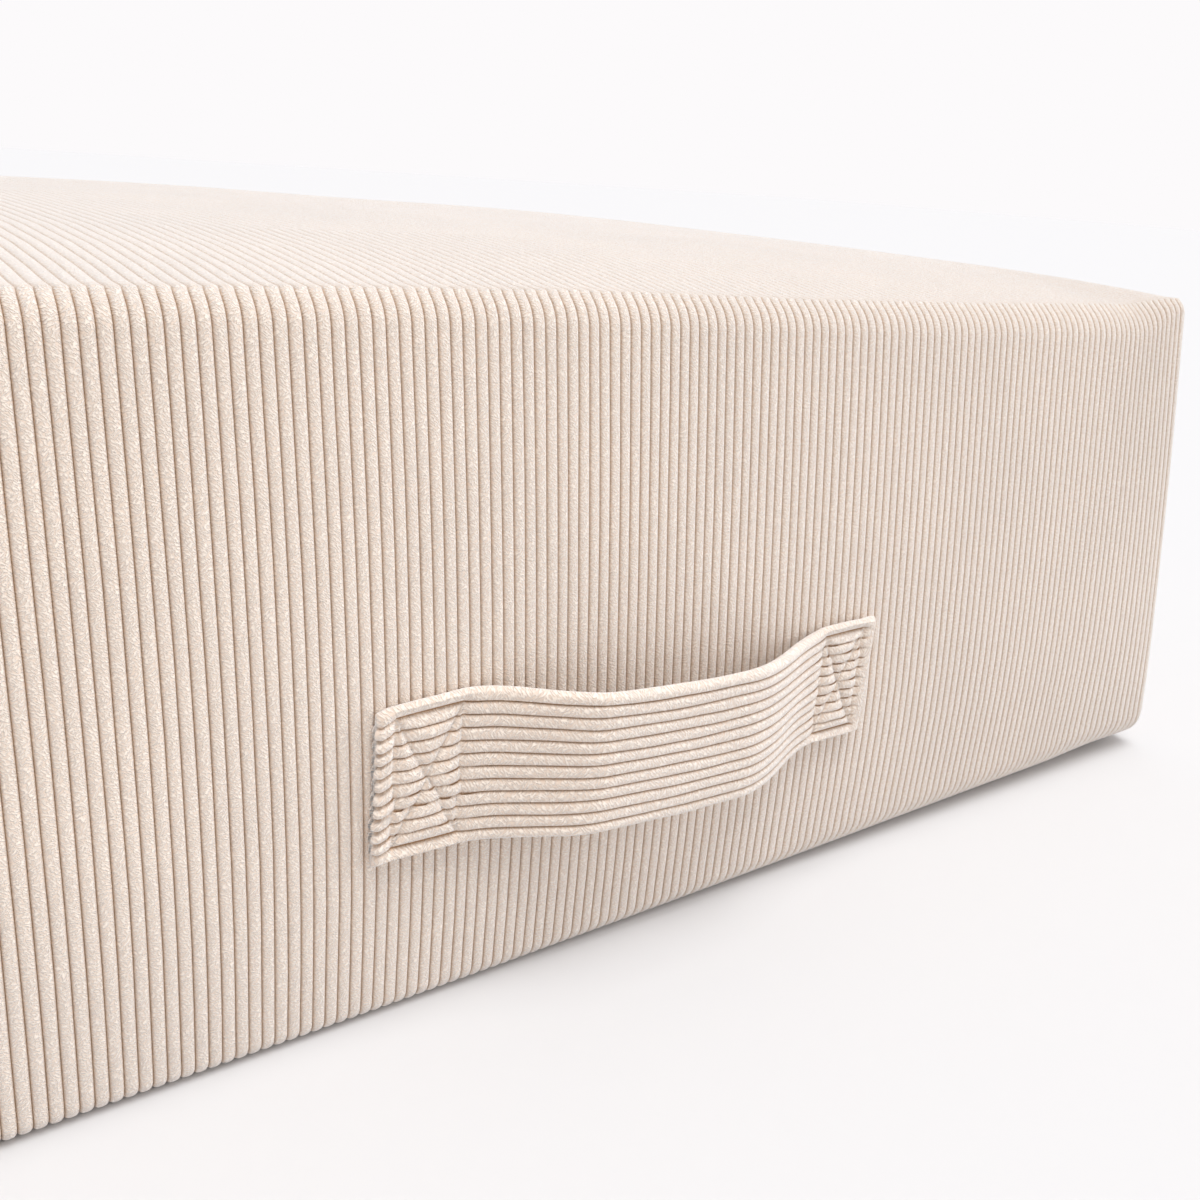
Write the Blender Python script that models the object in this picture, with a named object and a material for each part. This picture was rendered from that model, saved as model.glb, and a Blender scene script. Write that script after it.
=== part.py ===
"""Jumping cushion: a firm filled block covered in wide-wale corduroy, with a sewn-on carry handle.

Two pieces: the filled cushion, and the carry handle stitched to its front face.
The cushion rests on the plane z = 0 with the centre of its base at the origin.
X runs along the front face, Y runs from front to back, and the handle is on the -Y side.
The corduroy's ribs run up the front face, back over the top and down the back face.
"""
import math

import bmesh
import bpy

# Corduroy
WALE = 0.0038                # pitch of the ribs
WALES = 158                  # ribs across the front face
PILE = 0.0009                # depth of the groove between two ribs

# Cushion
DEPTH = 0.600                # front to back at the foot of the faces
CORNER_HEIGHT = 0.203        # height of the four top corners
EDGE_RISE = 0.0125           # how far the middle of each top edge stands above its corners
CROWN_RISE = 0.0055          # how far the middle of the top stands above the middle of its edges
CROWN_POWER = 4.5            # how flat the crown is across the middle of the top
FACE_BOW = 0.0057            # outward swell of the front and back faces
BOW_PEAK = 0.34              # height of the fullest line of a face, as a share of its height
FACE_LEAN = 0.0125           # how far the front and back faces lean in at the top
END_LEAN = 0.018             # how far each end leans in between its foot and its top
END_BOW = 0.004              # outward swell of the two end faces
END_GATHER = 0.77            # share of the half length where the cloth starts to draw in
TOP_ROUND = 0.0065           # radius of the long top edges
FOOT_ROUND = 0.0090          # radius of the long bottom edges
CORNER_ROUND = 0.0110        # radius round the four end edges of each end face
END_LIFT = 0.0030            # how far the base curls up at its two ends
LIFT_START = 0.80            # share of the half length where the base starts to curl up

# Carry handle
STRAP_LENGTH = 0.201         # outer end to outer end, measured along the front face
STRAP_WALES = 12             # ribs across the handle
STRAP_WIDTH = STRAP_WALES * WALE
STRAP_THICK = 0.0040         # folded cloth, from its back to the crests of its ribs
STRAP_HEIGHT = 0.0790        # centre of the sewn ends above the floor
PATCH = 0.0270               # length of each end that is sewn flat
HEM = 0.0060                 # turned-under cloth at each end of the handle
HEM_EXTRA = 0.0008           # extra thickness over the turned-under cloth
BELLY = 0.0142               # how far the loose middle stands off the cushion
BELLY_LEFT = 0.30            # share of the loose middle over which it swings out, at its left end
BELLY_RIGHT = 0.34           # the same at its right end
SAG = 0.0046                 # how far the loose middle drops
SAG_LATE = 1.35              # above 1, the lowest place lies right of the middle
SEAT = 0.0003                # gap between the handle's back and the ribs that it is sewn to
BELLY_STEPS = 22             # lengths of the loose middle
PATCH_STEPS = 4              # lengths of each sewn end

CREAM = (0.80, 0.67, 0.56, 1.0)
CLOTH_ROUGHNESS = 0.9

HALF_LENGTH = WALES * WALE / 2
ARC_STEPS = 2                # segments in each rounded long edge
FRONT_SHARES = (0.27, 0.52)  # heights of the front face's inner rows, as shares of its height
BACK_SHARES = (0.36,)        # the same for the back face
TOP_SHARES = (0.83, 0.0, -0.83)  # places of the top's inner rows, as shares of its half depth
END_RINGS = ((0.85, 0.45), (0.5, 1.0))   # (share of the end's size, share of its swell), outer first


def smoothstep(low, high, value):
    """0 below low, 1 above high, smooth between."""
    share = min(max((value - low) / (high - low), 0.0), 1.0)
    return share * share * (3.0 - 2.0 * share)


def fullness(share):
    """Swell at a place given as a share of the half size: 1 in the middle, 0 at the edge."""
    return math.sqrt(max(1.0 - share ** 4, 0.0))


def bow_at(height_share):
    """Swell of an upright face at a share of its height: 0 at foot and top, 1 at BOW_PEAK."""
    if height_share < BOW_PEAK:
        return math.sin(0.5 * math.pi * height_share / BOW_PEAK)
    return math.cos(0.5 * math.pi * (height_share - BOW_PEAK) / (1.0 - BOW_PEAK))


def end_inset(x):
    """How far the section shrinks where the end edges are rounded."""
    run = CORNER_ROUND - (HALF_LENGTH - abs(x))
    if run <= 0.0:
        return 0.0
    return CORNER_ROUND - math.sqrt(max(CORNER_ROUND ** 2 - run ** 2, 0.0))


def edge_height(x):
    """Height of the long top edges at x."""
    return CORNER_HEIGHT + EDGE_RISE * fullness(x / HALF_LENGTH) - end_inset(x)


def base_height(x):
    """Height of the base at x: flat on the floor but for the two ends."""
    past = max(abs(x) / HALF_LENGTH - LIFT_START, 0.0) / (1.0 - LIFT_START)
    return END_LIFT * past + end_inset(x)


def face_reach(x, height_share):
    """Distance of the front or back face from the middle plane."""
    bow = FACE_BOW * bow_at(height_share) * fullness(x / HALF_LENGTH)
    return DEPTH / 2 + bow - FACE_LEAN * height_share - end_inset(x)


def top_height(x, depth_share):
    """Height of the crowned top at x, at a share of the way from its middle to its long edges."""
    rise = EDGE_RISE + (CROWN_RISE - EDGE_RISE) * fullness(x / HALF_LENGTH)
    return edge_height(x) + rise * (1.0 - abs(depth_share) ** CROWN_POWER)


def face_rows(x, shares):
    """(reach, height) of one upright face's rows at x, from the base to the top."""
    foot = base_height(x)
    height = edge_height(x) - foot
    foot_share = FOOT_ROUND / height
    top_share = 1.0 - TOP_ROUND / height
    rows = [(DEPTH / 2 - FOOT_ROUND - end_inset(x), foot)]
    centre = face_reach(x, foot_share) - FOOT_ROUND
    for step in range(1, ARC_STEPS + 1):
        turn = 0.5 * math.pi * step / ARC_STEPS
        rows.append((centre + FOOT_ROUND * math.sin(turn), foot + FOOT_ROUND * (1.0 - math.cos(turn))))
    for share in shares:
        rows.append((face_reach(x, share), foot + share * height))
    centre = face_reach(x, top_share) - TOP_ROUND
    for step in range(ARC_STEPS + 1):
        turn = 0.5 * math.pi * step / ARC_STEPS
        rows.append((centre + TOP_ROUND * math.cos(turn), foot + height - TOP_ROUND * (1.0 - math.sin(turn))))
    return rows


def section(x):
    """(y, z) round the cushion at x, from the base up the front, over the top and down the back."""
    front = [(-reach, z) for reach, z in face_rows(x, FRONT_SHARES)]
    edge = front[-1][0]
    top = [(share * edge, top_height(x, share)) for share in TOP_SHARES]
    back = [(reach, z) for reach, z in reversed(face_rows(x, BACK_SHARES))]
    return front + top + back


def sunk(points, depth):
    """The same section with each point but the two on the base moved in by depth."""
    moved = [points[0]]
    for before, point, after in zip(points, points[1:], points[2:]):
        along_y = after[0] - before[0]
        along_z = after[1] - before[1]
        size = math.hypot(along_y, along_z)
        moved.append((point[0] + depth * along_z / size, point[1] - depth * along_y / size))
    moved.append(points[-1])
    return moved


def drawn_in(x, z):
    """x after the cloth near the ends is drawn in towards the top and let out towards the foot."""
    pull = END_LEAN * (z / CORNER_HEIGHT - 0.5)
    gather = smoothstep(END_GATHER, 1.0, abs(x) / HALF_LENGTH)
    return x - math.copysign(1.0, x) * pull * gather


def new_object(name, mesh_maker, collection, material):
    """A smooth-shaded mesh object made by mesh_maker in a bmesh."""
    shape = bmesh.new()
    mesh_maker(shape)
    bmesh.ops.recalc_face_normals(shape, faces=shape.faces)
    mesh = bpy.data.meshes.new(name)
    shape.to_mesh(mesh)
    shape.free()
    mesh.materials.append(material)
    mesh.shade_smooth()
    made = bpy.data.objects.new(name, mesh)
    collection.objects.link(made)
    return made


def skin(shape, rings):
    """Quads between neighbouring closed rings, in order."""
    count = len(rings[0])
    for ring, following in zip(rings, rings[1:]):
        for index in range(count):
            after = (index + 1) % count
            shape.faces.new((ring[index], ring[after], following[after], following[index]))


def swollen_end(shape, ring, side):
    """Closes an end with smaller rings that stand proud, and a flat face inside the last."""
    middle_y = sum(vert.co.y for vert in ring) / len(ring)
    middle_z = sum(vert.co.z for vert in ring) / len(ring)
    rings = [ring]
    for size, swell in END_RINGS:
        inner = []
        for vert in ring:
            y = middle_y + size * (vert.co.y - middle_y)
            z = middle_z + size * (vert.co.z - middle_z)
            lean = END_LEAN * (z - vert.co.z) / CORNER_HEIGHT
            inner.append(shape.verts.new((vert.co.x + side * (swell * END_BOW - lean), y, z)))
        rings.append(inner)
    skin(shape, rings)
    shape.faces.new(rings[-1])


def cushion_shape(shape):
    """The filled cushion: one section for each crest and each groove of the ribs."""
    rings = []
    for step in range(2 * WALES + 1):
        x = -HALF_LENGTH + step * WALE / 2
        points = section(x)
        if step % 2 == 0:
            points = sunk(points, PILE)
        rings.append([shape.verts.new((drawn_in(x, z), y, z)) for y, z in points])
    skin(shape, rings)
    swollen_end(shape, rings[0], -1.0)
    swollen_end(shape, rings[-1], 1.0)


def front_face_y(x, z):
    """y of the front face's crests at x and z, along the straight lines between its rows."""
    rows = face_rows(x, FRONT_SHARES)
    for (reach, low), (next_reach, high) in zip(rows, rows[1:]):
        if z <= high:
            share = (z - low) / (high - low)
            return -(reach + share * (next_reach - reach))
    return -rows[-1][0]


def strap_stations():
    """x of the handle's sections: sewn end, loose middle, sewn end."""
    outer = STRAP_LENGTH / 2
    inner = outer - PATCH
    stations = [-outer, -outer + HEM]
    stations += [-outer + HEM + (PATCH - HEM) * step / PATCH_STEPS for step in range(1, PATCH_STEPS)]
    stations += [-inner + 2 * inner * step / BELLY_STEPS for step in range(BELLY_STEPS + 1)]
    stations += [inner + (PATCH - HEM) * step / PATCH_STEPS for step in range(1, PATCH_STEPS)]
    stations += [outer - HEM, outer]
    return stations


def strap_lift(x):
    """(stand-off from the face, its slope along x, drop) of the handle's middle at x."""
    inner = STRAP_LENGTH / 2 - PATCH
    if abs(x) >= inner:
        return 0.0, 0.0, 0.0
    along = (x + inner) / (2 * inner)
    left, right = min(along / BELLY_LEFT, 1.0), min((1.0 - along) / BELLY_RIGHT, 1.0)
    stand_off = BELLY * smoothstep(0.0, 1.0, left) * smoothstep(0.0, 1.0, right)
    slope = 6.0 * BELLY * (left * (1.0 - left) / BELLY_LEFT - right * (1.0 - right) / BELLY_RIGHT)
    return stand_off, slope / (2 * inner), SAG * math.sin(math.pi * along ** SAG_LATE)


def strap_rows():
    """(place across the width, height above the back) round the handle's section."""
    half = STRAP_WIDTH / 2
    rows = [(share * (half - STRAP_THICK / 4), 0.0) for share in (1.0, 0.5, 0.0, -0.5, -1.0)]
    rows.append((-half, STRAP_THICK / 2))
    for step in range(1, 2 * STRAP_WALES):
        thick = STRAP_THICK if step % 2 else STRAP_THICK - PILE
        rows.append((-half + step * WALE / 2, thick))
    rows.append((half, STRAP_THICK / 2))
    return rows


def handle_shape(shape):
    """The carry handle: folded cloth sewn flat at both ends, its middle loose and bellied out."""
    rings = []
    hem_start = STRAP_LENGTH / 2 - HEM
    for x in strap_stations():
        stand_off, slope, drop = strap_lift(x)
        size = math.hypot(1.0, slope)
        swell = 1.0 + (HEM_EXTRA / STRAP_THICK if abs(x) >= hem_start else 0.0)
        ring = []
        for across, above in strap_rows():
            z = STRAP_HEIGHT - drop + across
            back_y = front_face_y(x, z) - SEAT - stand_off
            above = above * swell
            ring.append(shape.verts.new((x - above * slope / size, back_y - above / size, z)))
        rings.append(ring)
    skin(shape, rings)
    shape.faces.new(rings[0])
    shape.faces.new(rings[-1])


def corduroy(name, color):
    """A matt cotton corduroy material."""
    material = bpy.data.materials.new(name)
    material.use_nodes = True
    shader = material.node_tree.nodes["Principled BSDF"]
    shader.inputs["Base Color"].default_value = color
    shader.inputs["Roughness"].default_value = CLOTH_ROUGHNESS
    shader.inputs["Metallic"].default_value = 0.0
    material.diffuse_color = color
    return material


def main():
    for old in list(bpy.data.objects):
        bpy.data.objects.remove(old, do_unlink=True)
    collection = bpy.data.collections.new("jumping_cushion")
    bpy.context.scene.collection.children.link(collection)
    new_object("cushion", cushion_shape, collection, corduroy("cushion_corduroy", CREAM))
    new_object("carry_handle", handle_shape, collection, corduroy("handle_corduroy", CREAM))


main()
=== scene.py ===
"""Looks for the jumping cushion: a firm filled block in wide-wale corduroy, with a sewn-on carry handle.

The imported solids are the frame. The cover, its two end panels and the handle are modelled here
with every rib of the cloth. They follow the solids' form, but not to the millimetre: the top
edges and the corners stand up to 7 mm from the solids, and the handle up to 2.2 mm.
X runs along the front face, Y from front to back, and the handle is on the -Y side.
"""
import math

import bmesh
import bpy
from mathutils import Matrix, Vector, noise


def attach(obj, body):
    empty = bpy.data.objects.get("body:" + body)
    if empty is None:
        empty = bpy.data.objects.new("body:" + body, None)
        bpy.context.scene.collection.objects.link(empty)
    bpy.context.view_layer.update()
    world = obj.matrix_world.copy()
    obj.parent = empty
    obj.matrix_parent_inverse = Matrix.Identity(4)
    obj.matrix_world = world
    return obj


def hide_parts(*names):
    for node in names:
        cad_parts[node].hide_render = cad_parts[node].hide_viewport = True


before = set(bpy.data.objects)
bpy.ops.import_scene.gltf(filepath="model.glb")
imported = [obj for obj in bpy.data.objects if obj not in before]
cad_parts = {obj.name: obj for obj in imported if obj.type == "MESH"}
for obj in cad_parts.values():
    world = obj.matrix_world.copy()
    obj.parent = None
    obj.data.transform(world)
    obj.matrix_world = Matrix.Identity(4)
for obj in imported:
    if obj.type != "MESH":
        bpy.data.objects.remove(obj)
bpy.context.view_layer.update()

# ---------------------------------------------------------------- cloth
WALE = 0.0038                # pitch of the ribs
WALES = 158                  # ribs across the front face
GROOVE = 0.0012              # depth of the groove between two ribs
RIB_FLATNESS = 3.0           # how flat the top of a rib is
RIB_EDGE = 1.6               # how steep its two flanks are
# places across one rib, from -1 in the groove on its left to 1 in the groove on its right
COVER_STOPS = (-1.0, -0.90, -0.75, -0.50, -0.17, 0.17, 0.50, 0.75, 0.90)
STRAP_STOPS = (-1.0, -0.92, -0.80, -0.63, -0.40, -0.14, 0.14, 0.40, 0.63, 0.80, 0.92)
BACK_STOPS = (-1.0, -0.8, -0.3, 0.3, 0.8)

# ---------------------------------------------------------------- cushion
DEPTH = 0.600                # front to back at the foot of the faces
CORNER_HEIGHT = 0.2075       # height of the four top corners
EDGE_RISE = 0.0020           # how far the middle of each long top edge stands above its ends
CROWN_RISE = 0.0132          # rise of the top above its long edges half way along, less the lift there
END_CROWN = 0.0070           # the same at the two ends
CROWN_SKEW = 0.50            # how much fuller the top is on the left than on the right
LEFT_LIFT = 0.0044           # how much higher the long top edges stand on the left
LIFT_FADE = (-0.33, 0.63)    # shares of the half length between which that lift runs out
LIFT_END = (0.65, 1.0)       # the same towards the left end
CORNER_EAR = 0.0025          # how far the ends of the top edges are pulled up at the corners
EAR_RAMP = (0.84, 0.985)     # shares of the half length over which they rise
CROWN_POWER = 4.5            # how flat the crown is across the middle of the top
FACE_BOW = 0.0057            # outward swell of the front and back faces
BOW_PEAK = 0.34              # height of the fullest line of a face, as a share of its height
FACE_LEAN = 0.0125           # how far the front and back faces lean in at the top
END_LEAN = 0.018             # how far each end leans in between its foot and its top
END_BOW = 0.004              # outward swell of the two end faces
END_GATHER = 0.77            # share of the half length where the cloth starts to draw in
END_REACH = 0.0012           # how far the filled ends stand out past the last rib
TOP_ROUND = (0.0110, 0.0165)  # radius of the long top edges, at their left and right ends
TOP_START, TOP_TURN = 0.05, 1.10  # angles where a top edge's arc starts and ends
TOP_PIPE = 0.0005            # how far the cloth stands up along the top edge's crease
FOOT_ROUND = (0.0060, 0.0180)  # radius of the long bottom edges, at their left and right ends
FOOT_TURN = 1.50             # angle over which a foot's arc turns up into the face
FOOT_LAP = 0.002             # how far the outermost strip of the base reaches inwards
SLACK_START = -0.5           # share of the half length where both radii start to grow
CORNER_ROUND = 0.0060        # radius round the edges of each end face
END_LIFT = 0.0030            # how far the base curls up at its two ends
LIFT_START = 0.80            # share of the half length where the base starts to curl up
END_TIGHT = (0.65, 0.20)     # how much smaller both radii are at the very ends: top, bottom
TIGHT_START = 0.87           # share of the half length where they start to shrink
RIGHT_LIFT = 0.0006          # how much further the right end of the front foot lifts
HALF_LENGTH = WALES * WALE / 2

ARC_STEPS = 7                # segments in each rounded long edge
FRONT_ROWS = 9               # rows up the front face between its rounded edges
BACK_ROWS = 6                # the same up the back face
TOP_ROWS = 15                # rows over the top between its rounded edges
UNEVEN = 0.0007              # soft unevenness of the filled faces
UNEVEN_SPAN = (0.11, 0.10)   # its size along x and round the section
SETTLED = (0.004, 0.040)     # heights between which it grows from none to all
WANDER = 0.00022             # how far a rib strays from its straight line
WANDER_SPAN = (0.006, 0.045)  # size of the stray across and along the rib
TOP_RELIEF = 0.65            # how much of the ribs' depth is left on the pressed top

# ---------------------------------------------------------------- end panels
PANEL_ROWS = 15              # rows up an end panel
PANEL_THICK = 0.0014         # thickness of a panel's cloth
PANEL_REACH = 0.9985         # half width of a panel, as a share of the cushion's
RIM_RELIEF = 0.4             # how much of the ribs' depth is left at the panel's rim
SEAM_DIP = 0.0022            # how deep the seam round an end panel lies
SEAM_WIDTH = 0.0035          # how wide it is
SEAM_TUCK = 0.0030           # how far the cover turns in behind a panel
TUCK_HEIGHT = 0.1            # rough half height of the tucked-in edge
PANEL_SPAN = (0.10, 0.08)    # size of a panel's unevenness along y and z

# ---------------------------------------------------------------- carry handle
STRAP_LENGTH = 0.201         # outer end to outer end, measured along the front face
STRAP_WALES = 12             # ribs across the handle
STRAP_WIDTH = STRAP_WALES * WALE
STRAP_THICK = 0.0040         # folded cloth, from its back to the crests of its ribs
STRAP_HEIGHT = 0.0790        # centre of the sewn ends above the floor
PATCH = 0.0270               # length of each end that is sewn flat
HEM = 0.0060                 # turned-under cloth at each end of the handle
HEM_EXTRA = 0.0008           # extra thickness over the turned-under cloth
BELLY = 0.0142               # how far the loose middle stands off the cushion
BELLY_LEFT = 0.30            # share of the loose middle over which it swings out, at its left end
BELLY_RIGHT = 0.34           # the same at its right end
SAG = 0.0046                 # how far the loose middle drops
SAG_LATE = 1.60              # above 1, the lowest place lies right of the middle
TWIST = 0.054                # how far the loose middle's top edge tips away from the cushion
SEAT = 0.0003                # gap between the handle's back and the ribs that it is sewn to


def smoothstep(low, high, value):
    """0 below low, 1 above high, smooth between."""
    share = min(max((value - low) / (high - low), 0.0), 1.0)
    return share * share * (3.0 - 2.0 * share)


def fullness(share):
    """Swell at a place given as a share of the half size: 1 in the middle, 0 at the edge."""
    return math.sqrt(max(1.0 - share ** 4, 0.0))


def bow_at(height_share):
    """Swell of an upright face at a share of its height."""
    if height_share < BOW_PEAK:
        return math.sin(0.5 * math.pi * height_share / BOW_PEAK)
    return math.cos(0.5 * math.pi * (height_share - BOW_PEAK) / (1.0 - BOW_PEAK))


def end_inset(x):
    """How far the section shrinks where the end edges are rounded."""
    run = CORNER_ROUND - (HALF_LENGTH - abs(x))
    if run <= 0.0:
        return 0.0
    return CORNER_ROUND - math.sqrt(max(CORNER_ROUND ** 2 - run ** 2, 0.0))


def edge_height(x):
    """Height of the long top edges at x."""
    raised = EDGE_RISE * fullness(x / HALF_LENGTH) + edge_lift(x) + corner_ear(x)
    return CORNER_HEIGHT + raised - end_inset(x)


def base_height(x):
    """Height of the base at x: on the floor but for its two ends."""
    past = max(abs(x) / HALF_LENGTH - LIFT_START, 0.0) / (1.0 - LIFT_START)
    return END_LIFT * past + end_inset(x)


def face_reach(x, height_share):
    """How far an upright face stands from the middle at x, at a share of its height."""
    bow = FACE_BOW * bow_at(height_share) * fullness(x / HALF_LENGTH)
    return DEPTH / 2 + bow - FACE_LEAN * height_share - end_inset(x)


def crown_rise(x):
    """How far the middle of the top stands above its long edges at x."""
    share = x / HALF_LENGTH
    full = (CROWN_RISE - END_CROWN) * (1.0 - share ** 2) * (1.0 - CROWN_SKEW * share)
    return END_CROWN + full - edge_lift(x)


def edge_lift(x):
    """How much higher the long top edges stand at x than they do on the right."""
    share = x / HALF_LENGTH
    return LEFT_LIFT * (1.0 - smoothstep(*LIFT_FADE, share)) * (1.0 - smoothstep(*LIFT_END, -share))


def corner_ear(x):
    """How far the corner seams pull the long top edges up at x."""
    return CORNER_EAR * smoothstep(*EAR_RAMP, abs(x) / HALF_LENGTH)


def slack(x, rounding, tight):
    """A long edge's radius at x: the cloth is pulled tight on the left and at the very ends."""
    radius = rounding[0] + (rounding[1] - rounding[0]) * smoothstep(SLACK_START, 1.0, x / HALF_LENGTH)
    return radius * (1.0 - tight * smoothstep(TIGHT_START, 1.0, abs(x) / HALF_LENGTH))


def drawn_in(x, z):
    """x after the cloth near the ends is drawn in towards the top."""
    pull = END_LEAN * (z / CORNER_HEIGHT - 0.5)
    gather = smoothstep(END_GATHER, 1.0, abs(x) / HALF_LENGTH)
    return x + math.copysign(1.0, x) * (END_REACH - pull) * gather


def face_rows(x, inner_rows):
    """(reach, height) up one upright face at x, from the base to the top."""
    lift = RIGHT_LIFT * smoothstep(0.0, 1.0, x / HALF_LENGTH)
    foot = base_height(x) + lift
    height = edge_height(x) - foot
    high_round, low_round = slack(x, TOP_ROUND, END_TIGHT[0]), slack(x, FOOT_ROUND, END_TIGHT[1])
    foot_share = low_round / height
    top_share = 1.0 - high_round / height
    centre = face_reach(x, foot_share) - low_round
    rows = [(centre - FOOT_LAP, foot)]
    for step in range(ARC_STEPS + 1):
        turn = FOOT_TURN * step / ARC_STEPS
        rows.append((centre + low_round * math.sin(turn), foot + low_round * (1.0 - math.cos(turn))))
    for row in range(1, inner_rows + 1):
        share = foot_share + (top_share - foot_share) * row / (inner_rows + 1)
        rows.append((face_reach(x, share), foot + share * height))
    centre = face_reach(x, top_share) - high_round
    for step in range(ARC_STEPS + 1):
        turn = TOP_START + (TOP_TURN - TOP_START) * step / ARC_STEPS
        pipe = TOP_PIPE if step == ARC_STEPS else 0.0
        rows.append((centre + high_round * math.cos(turn),
                     foot + height - high_round * (1.0 - math.sin(turn)) + pipe))
    return rows


def section(x):
    """(y, z) round the cushion at x, from the base up the front, over the top and down the back."""
    front = [(-reach, z) for reach, z in face_rows(x, FRONT_ROWS)]
    edge, edge_z = -front[-1][0], front[-1][1] - TOP_PIPE
    rise = crown_rise(x) + edge_height(x) - corner_ear(x) - edge_z
    top = []
    for step in range(1, TOP_ROWS):
        share = math.cos(math.pi * step / TOP_ROWS)
        top.append((-edge * share, edge_z + rise * (1.0 - abs(share) ** CROWN_POWER)))
    back = [(reach, z) for reach, z in reversed(face_rows(x, BACK_ROWS))]
    return front + top + back


def outward(before, after):
    """The direction out of a section between two of its points."""
    along_y, along_z = after[0] - before[0], after[1] - before[1]
    size = math.hypot(along_y, along_z)
    return -along_z / size, along_y / size


def front_face_y(x, z):
    """y of the front face's rib crests at x and z."""
    foot = base_height(x)
    return -face_reach(x, (z - foot) / (edge_height(x) - foot))


def wander(across, along, size):
    """Sideways stray of a rib: each rib has its own slow wave."""
    return size * noise.noise(Vector((across / WANDER_SPAN[0], along / WANDER_SPAN[1], 3.1)))


# ---------------------------------------------------------------- nodes
def add_node(tree, kind, sockets=None, **settings):
    """Adds a node. sockets maps an input's name or number to a value, or to the output linked to it."""
    made = tree.nodes.new(kind)
    for name, value in settings.items():
        setattr(made, name, value)
    for key, value in (sockets or {}).items():
        if isinstance(value, bpy.types.NodeSocket):
            tree.links.new(value, made.inputs[key])
        else:
            made.inputs[key].default_value = value
    return made


def linear(hex_colour):
    """An sRGB hex colour as linear RGBA."""
    channels = []
    for start in (1, 3, 5):
        value = int(hex_colour[start:start + 2], 16) / 255
        channels.append(value / 12.92 if value <= 0.04045 else ((value + 0.055) / 1.055) ** 2.4)
    return (*channels, 1.0)


def input_id(tree, name):
    """The identifier of a node tree's named input."""
    return next(item.identifier for item in tree.interface.items_tree if item.name == name)


def plain_mesh(made, tree, inputs):
    """Runs a geometry tree on an object, keeps the result as a plain mesh and removes the modifier."""
    modifier = made.modifiers.new("tree", "NODES")
    modifier.node_group = tree
    for name, value in inputs.items():
        modifier[input_id(tree, name)] = value
    graph = bpy.context.evaluated_depsgraph_get()
    mesh = bpy.data.meshes.new_from_object(made.evaluated_get(graph))
    made.modifiers.clear()
    return mesh


# ---------------------------------------------------------------- ribs of the cloth
def wale_tree():
    """Raises the ribs of corduroy on a smooth cloth surface.

    wale is each point's place across its own rib, from -1 to 1, relief how much of the rib stands
    there, and held how free it is of a stitch that ties it down. Also kept for the finish is a share
    that is 0 in the groove and 1 on the crest; the finish paints the groove darker by it, partly for
    the bare ground weave and partly as painted shade.
    """
    tree = bpy.data.node_groups.new("wale_relief", "GeometryNodeTree")
    face = tree.interface
    face.new_socket("Geometry", in_out="INPUT", socket_type="NodeSocketGeometry")
    for name in ("Groove Depth", "Rib Flatness", "Rib Edge"):
        face.new_socket(name, in_out="INPUT", socket_type="NodeSocketFloat")
    face.new_socket("Cloth", in_out="INPUT", socket_type="NodeSocketMaterial")
    face.new_socket("Geometry", in_out="OUTPUT", socket_type="NodeSocketGeometry")
    given = add_node(tree, "NodeGroupInput").outputs

    wale = add_node(tree, "GeometryNodeInputNamedAttribute", {"Name": "wale"}, data_type="FLOAT")
    relief = add_node(tree, "GeometryNodeInputNamedAttribute", {"Name": "relief"}, data_type="FLOAT")
    held = add_node(tree, "GeometryNodeInputNamedAttribute", {"Name": "held"}, data_type="FLOAT")
    place = add_node(tree, "ShaderNodeMath", {0: wale.outputs[0]}, operation="ABSOLUTE")
    flat = add_node(tree, "ShaderNodeMath", {0: place.outputs[0], 1: given["Rib Flatness"]},
                    operation="POWER")
    rest = add_node(tree, "ShaderNodeMath", {0: 1.0, 1: flat.outputs[0]}, operation="SUBTRACT",
                    use_clamp=True)
    power = add_node(tree, "ShaderNodeMath", {0: 1.0, 1: given["Rib Edge"]}, operation="DIVIDE")
    crest = add_node(tree, "ShaderNodeMath", {0: rest.outputs[0], 1: power.outputs[0]}, operation="POWER")
    free = add_node(tree, "ShaderNodeMath", {0: crest.outputs[0], 1: held.outputs[0]}, operation="MULTIPLY")
    below = add_node(tree, "ShaderNodeMath", {0: free.outputs[0], 1: 1.0}, operation="SUBTRACT")
    sunk = add_node(tree, "ShaderNodeMath", {0: below.outputs[0], 1: relief.outputs[0]}, operation="MULTIPLY")
    depth = add_node(tree, "ShaderNodeMath", {0: sunk.outputs[0], 1: given["Groove Depth"]},
                     operation="MULTIPLY")
    normal = add_node(tree, "GeometryNodeInputNormal")
    offset = add_node(tree, "ShaderNodeVectorMath", {0: normal.outputs[0], "Scale": depth.outputs[0]},
                      operation="SCALE")
    # 0 in the groove to 1 on the crest; the finish paints the groove darker by it: partly bare ground weave,
    # partly painted shade
    low = add_node(tree, "ShaderNodeMath", {0: crest.outputs[0], 1: 1.0}, operation="SUBTRACT")
    nap_and_shade_share = add_node(tree, "ShaderNodeMath", {0: low.outputs[0], 1: relief.outputs[0], 2: 1.0},
                    operation="MULTIPLY_ADD", use_clamp=True)
    stored = add_node(tree, "GeometryNodeStoreNamedAttribute",
                      {"Geometry": given["Geometry"], "Name": "nap_and_groove_shade", "Value": nap_and_shade_share.outputs[0]},
                      data_type="FLOAT", domain="POINT")
    moved = add_node(tree, "GeometryNodeSetPosition",
                     {"Geometry": stored.outputs[0], "Offset": offset.outputs[0]})
    real = add_node(tree, "GeometryNodeRealizeInstances", {"Geometry": moved.outputs[0]})
    dressed = add_node(tree, "GeometryNodeSetMaterial",
                       {"Geometry": real.outputs[0], "Material": given["Cloth"]})
    add_node(tree, "NodeGroupOutput", {"Geometry": dressed.outputs[0]})
    return tree


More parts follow.
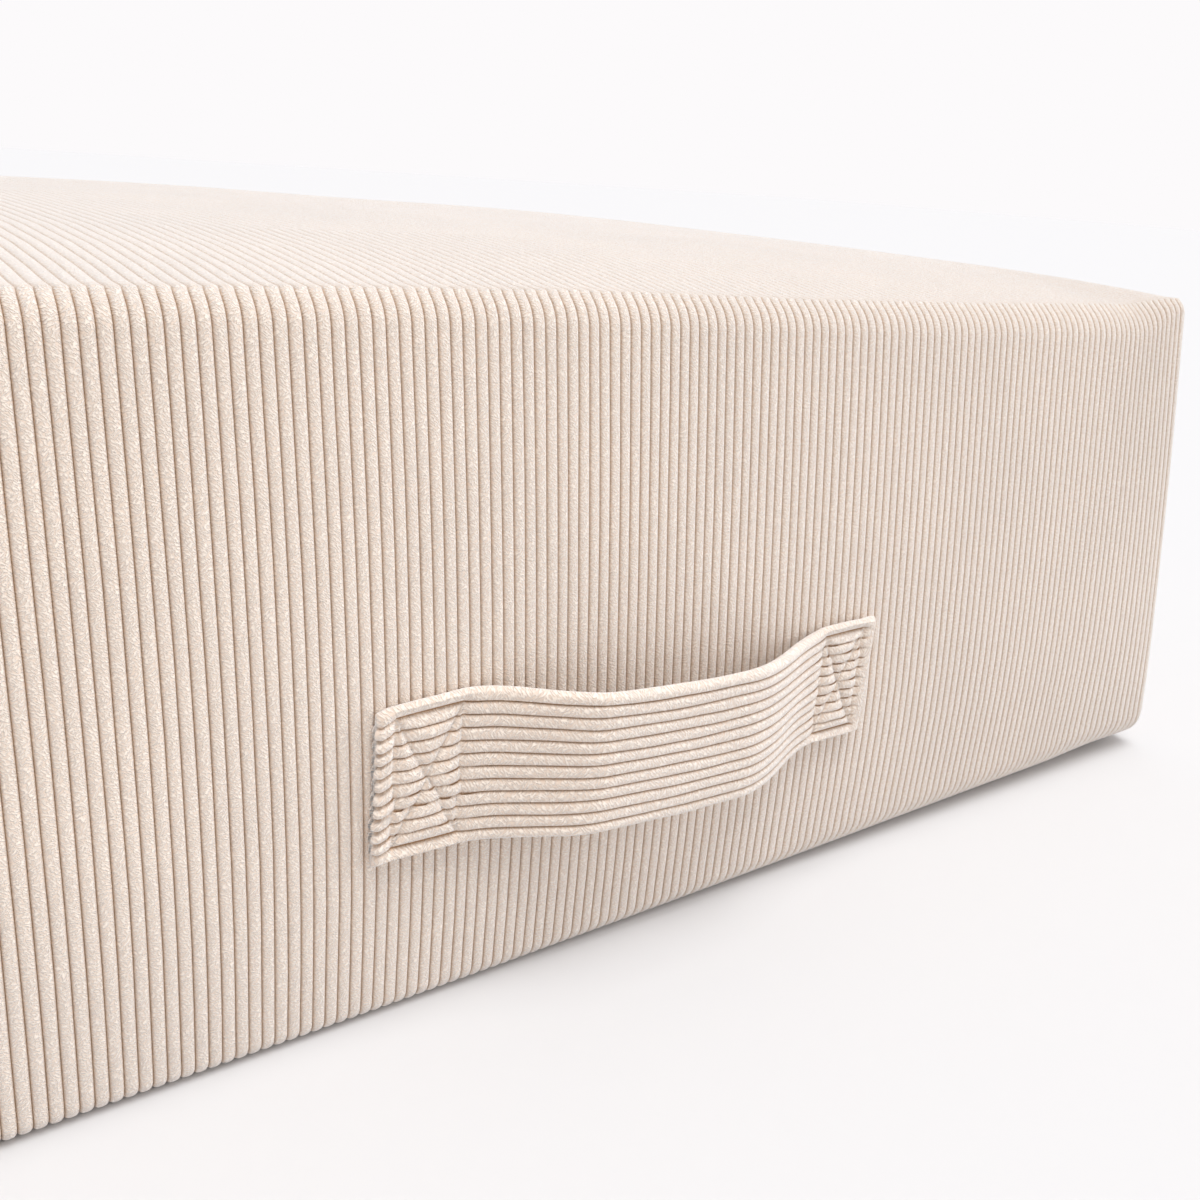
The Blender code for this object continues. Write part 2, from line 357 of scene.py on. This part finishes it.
def cloth_mesh(name, points, faces, closed):
    """A smooth mesh whose points are ((x, y, z), wale, relief, across, along, held)."""
    mesh = bpy.data.meshes.new(name)
    mesh.from_pydata([point[0] for point in points], [], faces)
    for attribute, place in (("wale", 1), ("relief", 2), ("held", 5)):
        kept = mesh.attributes.new(attribute, "FLOAT", "POINT")
        kept.data.foreach_set("value", [point[place] for point in points])
    laid = mesh.attributes.new("cloth", "FLOAT_VECTOR", "POINT")
    laid.data.foreach_set("vector", [value for point in points for value in (point[3], point[4], 0.0)])
    if closed:
        shape = bmesh.new()
        shape.from_mesh(mesh)
        bmesh.ops.recalc_face_normals(shape, faces=shape.faces)
        shape.to_mesh(mesh)
        shape.free()
    mesh.shade_smooth()
    return mesh


def ribbed_piece(name, mesh, tree, cloth, solidify=None):
    """The cloth piece with its ribs raised, as a plain mesh."""
    smooth = bpy.data.objects.new(name + "_smooth", mesh)
    bpy.context.scene.collection.objects.link(smooth)
    ribbed = plain_mesh(smooth, tree, {"Groove Depth": GROOVE, "Rib Flatness": RIB_FLATNESS,
                                       "Rib Edge": RIB_EDGE, "Cloth": cloth})
    bpy.data.objects.remove(smooth, do_unlink=True)
    ribbed.name = name
    piece = bpy.data.objects.new(name, ribbed)
    bpy.context.scene.collection.objects.link(piece)
    if solidify:
        wall = piece.modifiers.new("wall", "SOLIDIFY")
        wall.thickness = solidify
        wall.offset = -1.0
    return piece


def ring_faces(rings, count):
    """Quads between closed rings of points that are numbered in order."""
    faces = []
    for ring in range(rings - 1):
        for index in range(count):
            after = (index + 1) % count
            low = ring * count
            faces.append((low + index, low + after, low + count + after, low + count + index))
    return faces


# ---------------------------------------------------------------- cover
def cover_columns():
    """(x, place across the rib) for each column of the cover's mesh."""
    columns = []
    for wale in range(WALES):
        for stop in COVER_STOPS:
            columns.append((-HALF_LENGTH + (wale + (stop + 1) / 2) * WALE, stop))
    columns.append((HALF_LENGTH, 1.0))
    return columns


def cover_mesh():
    """The ribbed cover: up the front, over the top and down the back, and tucked in at both ends."""
    points = []
    columns = cover_columns()
    first_top = 2 * ARC_STEPS + FRONT_ROWS
    for x, stop in columns:
        rows = section(x)
        along = 0.0
        for number, (y, z) in enumerate(rows):
            if number in (0, len(rows) - 1):
                points.append(((drawn_in(x, z), y, z), stop, 0.0, x + HALF_LENGTH, along, 1.0))
                continue
            before, after = rows[number - 1], rows[number + 1]
            along += math.hypot(y - before[0], z - before[1])
            loose = smoothstep(*SETTLED, z)
            swell = noise.noise(Vector((x / UNEVEN_SPAN[0], along / UNEVEN_SPAN[1], 7.7)))
            uneven = loose * UNEVEN * swell
            out_y, out_z = outward(before, after)
            moved_x = drawn_in(x, z) + loose * wander(x, along, WANDER)
            place = (moved_x, y + uneven * out_y, z + uneven * out_z)
            # the ribs flatten within a few rows in from the top's edges
            rows_in = min(number - first_top, len(rows) - first_top - number)
            on_top = smoothstep(0.0, TOP_ROWS, rows_in * 6.0)
            points.append((place, stop, 1.0 - (1.0 - TOP_RELIEF) * on_top, x + HALF_LENGTH, along, 1.0))
    count = len(points) // len(columns)
    faces = ring_faces(len(columns), count)
    for side, first in ((-1.0, 0), (1.0, (len(columns) - 1) * count)):
        ring = list(range(first, first + count))
        tucked = []
        for index in ring:
            (x, y, z), stop, relief, across, along, held = points[index]
            share = 1.0 - SEAM_TUCK / TUCK_HEIGHT
            middle = CORNER_HEIGHT / 2
            place = (x - side * SEAM_TUCK, y * (1.0 - SEAM_TUCK / (DEPTH / 2)), middle + (z - middle) * share)
            tucked.append(len(points))
            points.append((place, stop, 0.0, across, along, held))
        for index in range(count):
            after = (index + 1) % count
            faces.append((ring[index], ring[after], tucked[after], tucked[index]))
        faces.append(tuple(tucked))
    return cloth_mesh("cushion_cover", points, faces, closed=True)


# ---------------------------------------------------------------- end panels
def outline_span(ring, y):
    """Lowest and highest z of a closed (y, z) outline at y."""
    heights = []
    for (y_a, z_a), (y_b, z_b) in zip(ring, ring[1:] + ring[:1]):
        if (y_a - y) * (y_b - y) <= 0.0 and y_a != y_b:
            heights.append(z_a + (z_b - z_a) * (y - y_a) / (y_b - y_a))
    return min(heights), max(heights)


def panel_columns(half_width):
    """(y, place across the rib) for an end panel, its ribs counted from the middle."""
    wales = int(half_width / WALE)
    columns = []
    for wale in range(-wales, wales):
        for stop in BACK_STOPS:
            columns.append(((wale + (stop + 1) / 2) * WALE, stop))
    columns.append((wales * WALE, 1.0))
    inner = columns[-1][0]
    rim = [(inner + (half_width - inner) * share, -1.0 + share) for share in (0.5, 1.0)]
    return [(-y, -stop) for y, stop in reversed(rim)] + columns + rim


def panel_mesh(name, side):
    """One end's cloth, domed by the filling and pulled in along its seam. side is -1 or 1."""
    ring = section(HALF_LENGTH)
    reach = PANEL_REACH * max(y for y, z in ring)
    points = []
    columns = panel_columns(reach)
    for y, stop in columns:
        low, high = outline_span(ring, y)
        for row in range(PANEL_ROWS):
            turn = math.pi * row / (PANEL_ROWS - 1)
            z = (low + high) / 2 - (high - low) / 2 * math.cos(turn)
            rim = min(z - low, high - z, reach - abs(y))
            dip = SEAM_DIP * math.exp(-(rim / SEAM_WIDTH) ** 2)
            up_share = 2.0 * (z - low) / (high - low) - 1.0 if high > low else 1.0
            swell = END_BOW * fullness(y / reach) * fullness(up_share)
            lean = END_LEAN * (z / CORNER_HEIGHT - 0.5)
            x = HALF_LENGTH + END_REACH - lean + swell - dip
            x += UNEVEN * noise.noise(Vector((y / PANEL_SPAN[0], z / PANEL_SPAN[1], 5.0 + side)))
            relief = smoothstep(0.0, SEAM_WIDTH, rim) * (1.0 - RIM_RELIEF) + RIM_RELIEF
            points.append(((side * x, y, z), stop, relief, y + reach, z, 1.0))
    faces = []
    for column in range(len(columns) - 1):
        for row in range(PANEL_ROWS - 1):
            low = column * PANEL_ROWS + row
            face = (low, low + PANEL_ROWS, low + PANEL_ROWS + 1, low + 1)
            faces.append(face if side > 0 else tuple(reversed(face)))
    return cloth_mesh(name, points, faces, closed=False)


# ---------------------------------------------------------------- carry handle
# how the sewn ends are pulled out of square: (shift along, shift up) of the outer top, outer bottom,
# inner top and inner bottom corner of the left and the right end
PULL_LEFT = ((0.0010, 0.0), (-0.0016, -0.0003), (0.0018, 0.0018), (-0.0017, -0.0009))
PULL_RIGHT = ((-0.0011, -0.0025), (-0.0060, -0.0006), (0.0010, -0.0030), (-0.0034, -0.0006))
STITCH_OUT = STRAP_LENGTH / 2 - HEM      # outer box stitch line, from the handle's middle
STITCH_IN = STRAP_LENGTH / 2 - PATCH     # inner box stitch line
FOLD_WALES = 5                           # whole ribs each side of the middle
FOLD = FOLD_WALES * WALE                 # the fold lines along the two long edges
RIB_END = 0.0017                         # length over which a rib rounds down to a stitch line
RIB_END_POWER = 2.4                      # how blunt its end is
STITCH_REACH = (0.008, 0.0025)           # how far past the box, along and across, the stitches still pull
CREASE = 0.0002                          # how deep a stitch line pulls the cloth down
CREASE_WIDTH = 0.0007
PILLOW = 0.0009                          # softer, wider dip round the stitch line
PILLOW_WIDTH = 0.0030
STITCH_STRAY = 0.0008                    # how far a rib's ends stray from the stitch line
PULL_FADE = 0.75                         # share of the loose half over which the ends' pull runs out
HEM_RISE = 0.0020                        # length over which the hem thickens
BACK_RELIEF = 0.6                        # how much of the ribs' depth the loose middle's back has
KNOB = 0.30                              # how much of the ribs' depth the thick hem fills
KNOB_SWELL = 0.0008                      # how far the left hem's ribs bulge
SMOOTH_BAND = (0.0012, 0.0028)           # where the right hem's ribs fade into its smooth rim
KNOB_SLANT = 0.18                        # how much they slant down outwards
KNOB_STRAY = 0.0003                      # how unevenly they stand out
HEM_SINK = 0.0008                        # how deep the hem is sewn into the cover
EDGE_LINE = 0.00035                      # depth of the lines where the folded layers meet
EDGE_LINE_TURNS = (0.9, 1.9)             # where they lie, as angles round the folded edge
EDGE_LINE_SPREAD = 0.22
RIB_WAVE = 0.00035                       # how far the handle's ribs stray sideways
RIB_WAVE_SPAN = (0.016, 0.007)           # size of that stray along and across
LOOSE_WAVE = 0.0005                      # soft waves of the loose middle
LOOSE_SPAN = (0.03, 0.016)               # their size along and across
LOOSE_RUN = 0.03                         # length over which they grow from the sewn ends
SEWN_STEP = 0.00030                      # mesh steps along a sewn end
LOOSE_STEP = 0.0014                      # mesh steps along the loose middle
LOOSE_CROWD = 1.15                       # above 1, they crowd towards the sewn ends
NOSE_STEPS = 8                           # mesh steps round the nose of each end
EDGE_STEPS = 16                          # mesh steps round a folded long edge


def strap_lift(x):
    """(stand-off from the face, its slope along x, drop, tip) of the handle's middle at x."""
    if abs(x) >= STITCH_IN:
        return 0.0, 0.0, 0.0, 0.0
    along = (x + STITCH_IN) / (2 * STITCH_IN)
    left, right = min(along / BELLY_LEFT, 1.0), min((1.0 - along) / BELLY_RIGHT, 1.0)
    stand_off = BELLY * smoothstep(0.0, 1.0, left) * smoothstep(0.0, 1.0, right)
    slope = 6.0 * BELLY * (left * (1.0 - left) / BELLY_LEFT - right * (1.0 - right) / BELLY_RIGHT)
    drop = SAG * math.sin(math.pi * along ** SAG_LATE)
    return stand_off, slope / (2 * STITCH_IN), drop, TWIST * math.sin(math.pi * along)


def strap_stations():
    """(x, share of the thickness) of the handle's sections, with a round nose at each end."""
    outer = STRAP_LENGTH / 2
    nose = STRAP_THICK / 2
    half = []
    for step in range(1, NOSE_STEPS):
        turn = 0.5 * math.pi * step / NOSE_STEPS
        half.append((outer - nose + nose * math.cos(turn), math.sin(turn)))
    sewn = round((outer - nose - STITCH_IN) / SEWN_STEP)
    for step in range(sewn + 1):
        half.append((outer - nose - (outer - nose - STITCH_IN) * step / sewn, 1.0))
    loose = round(STITCH_IN / LOOSE_STEP)
    grow = [STITCH_IN * (1.0 - (step / loose) ** LOOSE_CROWD) for step in range(1, loose + 1)]
    half += [(x, 1.0) for x in grow]
    return [(-x, thick) for x, thick in half[:-1]] + [(x, thick) for x, thick in reversed(half)]


def strap_ring():
    """(place across, height share, place across its rib, front) round the handle's section."""
    flat = STRAP_WIDTH / 2 - STRAP_THICK / 2
    front = [((wale + (stop + 1) / 2) * WALE, 1.0, stop, True)
             for wale in range(-FOLD_WALES, FOLD_WALES) for stop in STRAP_STOPS]
    top_strip = [(FOLD + (flat - FOLD) * step / 4, 1.0, -1.0 + step / 4, True) for step in range(5)]
    low_strip = [(-place, 1.0, -stop, True) for place, height, stop, side in top_strip[1:]]
    edge = []
    for step in range(1, EDGE_STEPS):
        turn = math.pi * step / EDGE_STEPS
        line = EDGE_LINE * sum(math.exp(-((turn - at) / EDGE_LINE_SPREAD) ** 2) for at in EDGE_LINE_TURNS)
        radius = STRAP_THICK / 2 - line
        edge.append((flat + radius * math.sin(turn), 0.5 + 0.5 * math.cos(turn), 0.0, True))
    lower = [(-place, height, stop, side) for place, height, stop, side in edge]
    back = [((wale + (stop + 1) / 2) * WALE, 0.0, stop, False)
            for wale in range(-FOLD_WALES, FOLD_WALES) for stop in BACK_STOPS]
    back = [(-flat, 0.0, 0.0, False)] + back + [(FOLD, 0.0, -1.0, False), (flat, 0.0, 0.0, False)]
    return lower + back + list(reversed(edge)) + list(reversed(top_strip)) + list(reversed(front)) + low_strip


def gap_to_segment(x, across, start, end):
    """Distance from a place on the strap to a stitched line."""
    run = (end[0] - start[0], end[1] - start[1])
    share = ((x - start[0]) * run[0] + (across - start[1]) * run[1]) / (run[0] ** 2 + run[1] ** 2)
    share = min(max(share, 0.0), 1.0)
    return math.hypot(x - start[0] - share * run[0], across - start[1] - share * run[1])


def stitch_lines():
    """The box and cross sewn through each end of the handle, as (start, end) on the strap."""
    lines = []
    for side in (-1.0, 1.0):
        out, inner = side * STITCH_OUT, side * STITCH_IN
        lines += [((out, -FOLD), (out, FOLD)), ((inner, -FOLD), (inner, FOLD)),
                  ((out, -FOLD), (inner, -FOLD)), ((out, FOLD), (inner, FOLD)),
                  ((out, -FOLD), (inner, FOLD)), ((out, FOLD), (inner, -FOLD))]
    return lines


def rib_stray(across, seed):
    """A value from -1 to 1 that is the same all along one rib."""
    rib = math.floor(across / WALE + 1e-6)
    return 2.0 * noise.noise(Vector((rib * 1.37 + 0.5, seed, 0.3)))


def pulled(x, across):
    """(shift along, shift up) of a place on the handle, whose ends are sewn on out of square."""
    corners = PULL_LEFT if x < 0.0 else PULL_RIGHT
    up = 0.5 + across / STRAP_WIDTH
    out = min(max((abs(x) - STITCH_IN) / PATCH, 0.0), 1.0)
    fade = 1.0 - smoothstep(0.0, PULL_FADE, (STITCH_IN - abs(x)) / STITCH_IN)
    shifts = []
    for part in (0, 1):
        outer = corners[1][part] + (corners[0][part] - corners[1][part]) * up
        inner = corners[3][part] + (corners[2][part] - corners[3][part]) * up
        shifts.append((inner + (outer - inner) * out) * fade)
    return shifts


def handle_mesh():
    """The handle's cloth: a folded strap, tied down by its stitches and loose in the middle."""
    lines = stitch_lines()
    ring = strap_ring()
    stations = strap_stations()
    points = []
    for x, thick_share in stations:
        stand_off, slope, drop, tip = strap_lift(x)
        size = math.hypot(1.0, slope)
        side = math.copysign(1.0, x)
        in_hem = smoothstep(STITCH_OUT, STITCH_OUT + HEM_RISE, abs(x))
        near = [line for line in lines if line[0][0] * x > 0.0]
        loose = smoothstep(0.0, LOOSE_RUN, STITCH_IN - abs(x))
        stitched = abs(x) > STITCH_IN - STITCH_REACH[0]
        for across, height_share, stop, is_front in ring:
            thick = STRAP_THICK + HEM_EXTRA * in_hem
            above = thick * (0.5 + (height_share - 0.5) * thick_share)
            relief, held = 1.0, 1.0
            place_x = x
            if is_front and stitched and abs(across) < FOLD + STITCH_REACH[1]:
                shifted = x + STITCH_STRAY * rib_stray(across, 4.0 + side)
                gap = min(gap_to_segment(shifted, across, start, end) for start, end in near)
                free = 1.0 - min(gap / RIB_END, 1.0)
                held = math.sqrt(max(1.0 - free ** RIB_END_POWER, 0.0))
                above -= height_share * (CREASE * math.exp(-(gap / CREASE_WIDTH) ** 2)
                                         + PILLOW * math.exp(-(gap / PILLOW_WIDTH) ** 2))
            if in_hem > 0.0:
                relief = 1.0 - KNOB * in_hem
                if side > 0.0:
                    relief *= 1.0 - smoothstep(*SMOOTH_BAND, abs(x) - STITCH_OUT)
                knobbed = side < 0.0 and abs(across) <= FOLD
                round_rib = in_hem * (1.0 - stop * stop) if knobbed else 0.0
                place_x += side * round_rib * (KNOB_SWELL + KNOB_STRAY * rib_stray(across, 9.0))
                above += height_share * round_rib * (KNOB_SWELL + KNOB_STRAY * rib_stray(across, 12.0))
            if not is_front:
                relief = 0.0 if abs(x) > STITCH_IN else BACK_RELIEF
            stray = noise.noise(Vector((x / RIB_WAVE_SPAN[0], across / RIB_WAVE_SPAN[1], 2.2)))
            waved = across + RIB_WAVE * stray
            shift_x, shift_z = pulled(x, across)
            place_x += shift_x
            slant = KNOB_SLANT * max(abs(x) - STITCH_OUT, 0.0) if side < 0.0 else 0.0
            z = STRAP_HEIGHT - drop + waved + shift_z - slant
            wave = noise.noise(Vector((x / LOOSE_SPAN[0], across / LOOSE_SPAN[1], 8.4)))
            soft = loose * LOOSE_WAVE * wave
            back_y = front_face_y(x, z) - SEAT + HEM_SINK * in_hem - stand_off - tip * across - soft
            place = (place_x - above * slope / size, back_y - above / size, z)
            points.append((place, stop, relief, across + STRAP_WIDTH, x + STRAP_LENGTH, held))
    count = len(ring)
    faces = ring_faces(len(stations), count)
    faces.append(tuple(range(count)))
    faces.append(tuple(range(len(points) - count, len(points))))
    return cloth_mesh("carry_handle_cloth", points, faces, closed=True)


# ---------------------------------------------------------------- finishes
COVER_TUFT = (0.00042, 0.0010)           # width and length of a tuft of pile on the cushion
STRAP_TUFT = (0.00052, 0.0016)           # the same on the handle, where the pile is longer
SHEEN = "#F8FBFF"                        # bloom of the pile where it turns away


def pile_strokes(tree, laid, slant, tuft):
    """Short tufts of cut pile that all lean by one angle. tuft is their width and length."""
    turned = add_node(tree, "ShaderNodeMapping", {"Vector": laid, "Rotation": (0.0, 0.0, math.radians(slant)),
                                                  "Scale": (*tuft, 1.0)}, vector_type="TEXTURE")
    return add_node(tree, "ShaderNodeTexNoise", {"Vector": turned.outputs[0], "Scale": 1.0, "Detail": 1.0,
                                                 "Roughness": 0.5, "Distortion": 0.3}).outputs[0]


def corduroy(name, light, deep, groove, sheen_colour, tuft):
    """Cut-pile cotton corduroy: matt, soft and warm, its ribs flecked where the pile parts.

    The pile throws a pale bloom where the surface turns away. Its grooves are painted darker, partly
    for their bare ground weave and partly as painted shade.
    """
    material = bpy.data.materials.new(name)
    material.use_nodes = True
    tree = material.node_tree
    shader = tree.nodes["Principled BSDF"]
    laid = add_node(tree, "ShaderNodeAttribute", attribute_name="cloth").outputs["Vector"]
    nap_and_groove_shade = add_node(tree, "ShaderNodeAttribute", attribute_name="nap_and_groove_shade").outputs["Fac"]
    # the tufts lean one way or the other in patches some 5 mm across
    patch = add_node(tree, "ShaderNodeTexNoise", {"Vector": laid, "Scale": 1.0 / 0.005, "Detail": 0.0})
    leaning = add_node(tree, "ShaderNodeMapRange", {"Value": patch.outputs[0], "From Min": 0.55,
                                                    "From Max": 0.60})
    strokes = add_node(tree, "ShaderNodeMix", {0: leaning.outputs[0], 2: pile_strokes(tree, laid, 48, tuft),
                                               3: pile_strokes(tree, laid, -48, tuft)}, data_type="FLOAT")
    parted = add_node(tree, "ShaderNodeMapRange", {"Value": strokes.outputs[0], "From Min": 0.42,
                                                   "From Max": 0.60})
    # single fibre ends, a quarter of a millimetre across
    fibre = add_node(tree, "ShaderNodeTexNoise", {"Vector": laid, "Scale": 1.0 / 0.00028, "Detail": 1.0})
    # a few small pits where a tuft is missing
    pit = add_node(tree, "ShaderNodeTexVoronoi", {"Vector": laid, "Scale": 1.0 / 0.0019})
    pitted = add_node(tree, "ShaderNodeMapRange", {"Value": pit.outputs["Distance"], "From Min": 0.06,
                                                   "From Max": 0.17, "To Min": 0.80, "To Max": 1.0})
    # slow change of shade over the piece, some 60 mm across
    shade = add_node(tree, "ShaderNodeTexNoise", {"Vector": laid, "Scale": 1.0 / 0.06, "Detail": 2.0})
    slow = add_node(tree, "ShaderNodeMapRange", {"Value": shade.outputs[0], "From Min": 0.3, "From Max": 0.7,
                                                 "To Min": 0.97, "To Max": 1.03})
    dimmed = add_node(tree, "ShaderNodeMath", {0: slow.outputs[0], 1: pitted.outputs[0]},
                      operation="MULTIPLY")
    tone = add_node(tree, "ShaderNodeMix", {0: parted.outputs[0], 6: linear(deep), 7: linear(light)},
                    data_type="RGBA")
    toned = add_node(tree, "ShaderNodeMix", {0: 1.0, 6: tone.outputs[2], 7: dimmed.outputs[0]},
                     data_type="RGBA", blend_type="MULTIPLY")
    # the grooves take the groove colour, darker than the pile: partly their bare ground weave, partly painted
    # shade
    stands = add_node(tree, "ShaderNodeMapRange", {"Value": nap_and_groove_shade, "From Min": 0.05, "From Max": 0.85})
    colour = add_node(tree, "ShaderNodeMix", {0: stands.outputs[0], 6: linear(groove), 7: toned.outputs[2]},
                      data_type="RGBA")
    tree.links.new(colour.outputs[2], shader.inputs["Base Color"])
    grain = add_node(tree, "ShaderNodeMath", {0: fibre.outputs[0], 1: 0.3}, operation="MULTIPLY")
    pile = add_node(tree, "ShaderNodeMath", {0: parted.outputs[0], 1: grain.outputs[0]}, operation="ADD")
    bump = add_node(tree, "ShaderNodeBump", {"Height": pile.outputs[0], "Strength": 0.8, "Distance": 0.0004})
    tree.links.new(bump.outputs[0], shader.inputs["Normal"])
    shader.inputs["Roughness"].default_value = 0.95
    shader.inputs["Specular IOR Level"].default_value = 0.15
    tree.links.new(stands.outputs[0], shader.inputs["Sheen Weight"])
    shader.inputs["Sheen Roughness"].default_value = 0.85
    shader.inputs["Sheen Tint"].default_value = linear(sheen_colour)
    return material


def matt_finish(name, colour):
    """A plain matt paint."""
    material = bpy.data.materials.new(name)
    material.use_nodes = True
    shader = material.node_tree.nodes["Principled BSDF"]
    shader.inputs["Base Color"].default_value = linear(colour)
    shader.inputs["Roughness"].default_value = 0.9
    shader.inputs["Specular IOR Level"].default_value = 0.1
    return material


# ---------------------------------------------------------------- studio
CAMERA_PLACE = (-0.2411, -0.5875, 0.2451)
CAMERA_YAW = math.radians(36.97)         # from +Y towards +X
CAMERA_PITCH = math.radians(18.79)       # downwards
CAMERA_ROLL = math.radians(4.05)
CAMERA_LENS = 37.67
SENSOR = 36.0
BACKDROP = "#FCFAFB"
ROOM_LIGHT = 0.765                       # brightness of the room's even light
# each lamp: name, strength, spread in degrees, where it shines from
LAMPS = (("soft_overhead", 1.80, 36, (0.06, -0.20, 0.95)),
         ("soft_side", 1.00, 22, (0.95, -0.28, 0.28)))


def studio():
    """Camera, pale floor and soft light from all round and above."""
    camera = bpy.data.cameras.new("camera")
    camera.lens = CAMERA_LENS
    camera.sensor_width = SENSOR
    camera.clip_start = 0.01
    forward = Vector((math.sin(CAMERA_YAW) * math.cos(CAMERA_PITCH),
                      math.cos(CAMERA_YAW) * math.cos(CAMERA_PITCH), -math.sin(CAMERA_PITCH)))
    right = Vector((math.cos(CAMERA_YAW), -math.sin(CAMERA_YAW), 0.0))
    up = right.cross(forward)
    across = right * math.cos(CAMERA_ROLL) + up * math.sin(CAMERA_ROLL)
    upward = up * math.cos(CAMERA_ROLL) - right * math.sin(CAMERA_ROLL)
    turned = Matrix((across, upward, -forward)).transposed().to_4x4()
    viewer = bpy.data.objects.new("camera", camera)
    viewer.matrix_world = Matrix.Translation(CAMERA_PLACE) @ turned
    bpy.context.scene.collection.objects.link(viewer)
    bpy.context.scene.camera = viewer

    bpy.ops.mesh.primitive_plane_add(size=40.0, location=(0.0, 0.0, 0.0))
    floor = bpy.context.object
    floor.name = "floor"
    floor.data.materials.append(matt_finish("matt_painted_floor", "#D9D9DA"))

    for name, strength, spread, place in LAMPS:
        lamp = bpy.data.lights.new(name, "SUN")
        lamp.energy = strength
        lamp.angle = math.radians(spread)
        sun = bpy.data.objects.new(name, lamp)
        sun.rotation_mode = "QUATERNION"
        sun.rotation_quaternion = Vector(place).to_track_quat("Z", "Y")
        bpy.context.scene.collection.objects.link(sun)

    world = bpy.data.worlds.new("studio")
    world.use_nodes = True
    tree = world.node_tree
    seen = add_node(tree, "ShaderNodeBackground", {"Color": linear(BACKDROP), "Strength": 1.0})
    lit = add_node(tree, "ShaderNodeBackground", {"Color": linear(BACKDROP), "Strength": ROOM_LIGHT})
    ray = add_node(tree, "ShaderNodeLightPath")
    both = add_node(tree, "ShaderNodeMixShader", {0: ray.outputs["Is Camera Ray"], 1: lit.outputs[0],
                                                  2: seen.outputs[0]})
    tree.links.new(both.outputs[0], tree.nodes["World Output"].inputs["Surface"])
    bpy.context.scene.world = world
    bpy.context.scene.view_settings.view_transform = "Standard"


def main():
    studio()
    # each cloth's third colour is its groove colour: partly the bare ground weave, partly painted shade
    cloth = corduroy("cotton_corduroy", "#FEEBD6", "#EACFB5", "#B38F6E", SHEEN, COVER_TUFT)
    strap_cloth = corduroy("cotton_corduroy_handle", "#FEEBD6", "#E5C9AE", "#AA8563", SHEEN, STRAP_TUFT)
    ribs = wale_tree()

    cover = ribbed_piece("cushion_cover", cover_mesh(), ribs, cloth)
    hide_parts("cushion")
    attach(cover, "root")

    for name, side in (("end_panel_left", -1.0), ("end_panel_right", 1.0)):
        panel = ribbed_piece(name, panel_mesh(name, side), ribs, cloth, solidify=PANEL_THICK)
        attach(panel, "root")

    handle = ribbed_piece("carry_handle_cloth", handle_mesh(), ribs, strap_cloth)
    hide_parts("carry_handle")
    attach(handle, "root")


main()
